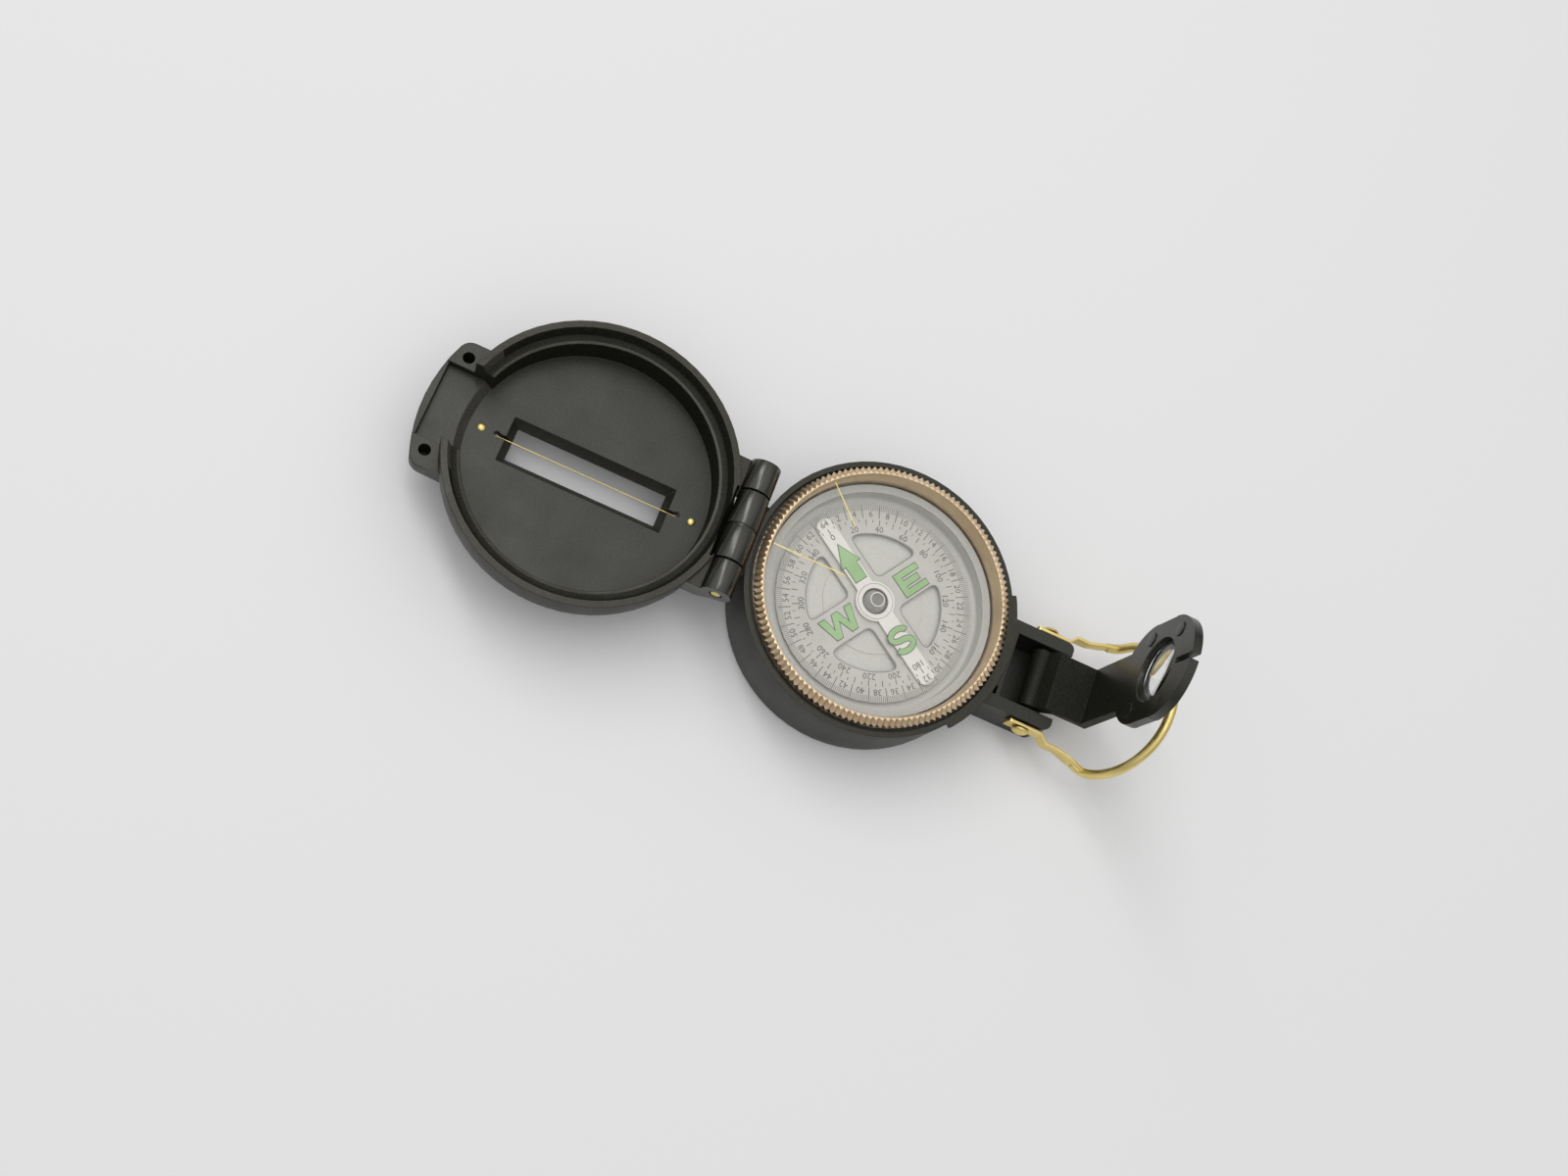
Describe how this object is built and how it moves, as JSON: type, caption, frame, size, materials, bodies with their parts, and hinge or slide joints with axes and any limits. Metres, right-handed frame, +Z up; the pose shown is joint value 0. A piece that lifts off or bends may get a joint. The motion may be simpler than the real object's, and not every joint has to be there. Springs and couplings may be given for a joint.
{
  "type": "lensatic compass",
  "caption": "Pocket sighting compass: round base with a turning bezel over a floating card, hinged cover with a wire-crossed slot, folding lens eyepiece and wire thumb loop.",
  "frame": {"origin": "centre of the round base's underside, on the card's axis", "axes": "+Z up along the card's axis, +X towards the eyepiece, -X towards the open cover"},
  "size_m": [0.157, 0.057, 0.0527],
  "materials": {
    "black_plastic": "moulded black, fine matte grain",
    "brass": "bright drawn brass",
    "clear_plastic": "clear moulded plastic",
    "pale_plastic": "pale grey moulded plastic",
    "hub_grey": "smoky clear plastic",
    "dial_print": "dark printing ink",
    "luminous_green": "pale green luminous paint",
    "rubber": "soft pale grey",
    "steel": "ground steel",
    "bronze_plate": "rose-gold plating, knurled",
    "crystal": "polished clear",
    "dial_grey": "satin grey with dark print",
    "white_paint": "white paint"
  },
  "bodies": {
    "base": {"base_case": "black_plastic", "hinge_pin": "brass", "eyepiece_pin": "brass", "capsule_cup": "pale_plastic", "capsule_gasket": "rubber", "capsule_lid": "clear_plastic", "pivot_needle": "steel", "bezel_snap_ring": "steel"},
    "cover": {"cover_shell": "black_plastic", "sighting_wire": "brass", "wire_pin_outer": "brass", "wire_pin_inner": "brass"},
    "bezel": {"bezel_ring": "bronze_plate", "crystal": "crystal"},
    "card": {"card_disc": "dial_grey", "card_magnet": "white_paint", "jewel_cup": "hub_grey"},
    "eyepiece": {"eyepiece_bracket": "black_plastic", "magnifier_lens": "crystal", "lens_ring": "black_plastic"},
    "thumb_loop": {"thumb_loop": "brass"}
  },
  "joints": [
    {"name": "cover_hinge", "type": "hinge", "parent": "base", "child": "cover", "pos_m": [-0.03077, 0, 0.01683], "axis": [0, 1, 0], "range_deg": [0, 180]},
    {"name": "bezel_turn", "type": "hinge", "parent": "base", "child": "bezel", "pos_m": [0, 0, 0.0166], "axis": [0, 0, 1], "continuous": true},
    {"name": "card_turn", "type": "hinge", "parent": "base", "child": "card", "pos_m": [0, 0, 0.0104], "axis": [0, 0, 1], "continuous": true},
    {"name": "eyepiece_fold", "type": "hinge", "parent": "base", "child": "eyepiece", "pos_m": [0.03785, 0, 0.0077], "axis": [0, -1, 0], "range_deg": [0, 90]},
    {"name": "thumb_loop_swing", "type": "hinge", "parent": "base", "child": "thumb_loop", "pos_m": [0.03785, 0, 0.0077], "axis": [0, -1, 0], "range_deg": [-95, 15]}
  ]
}
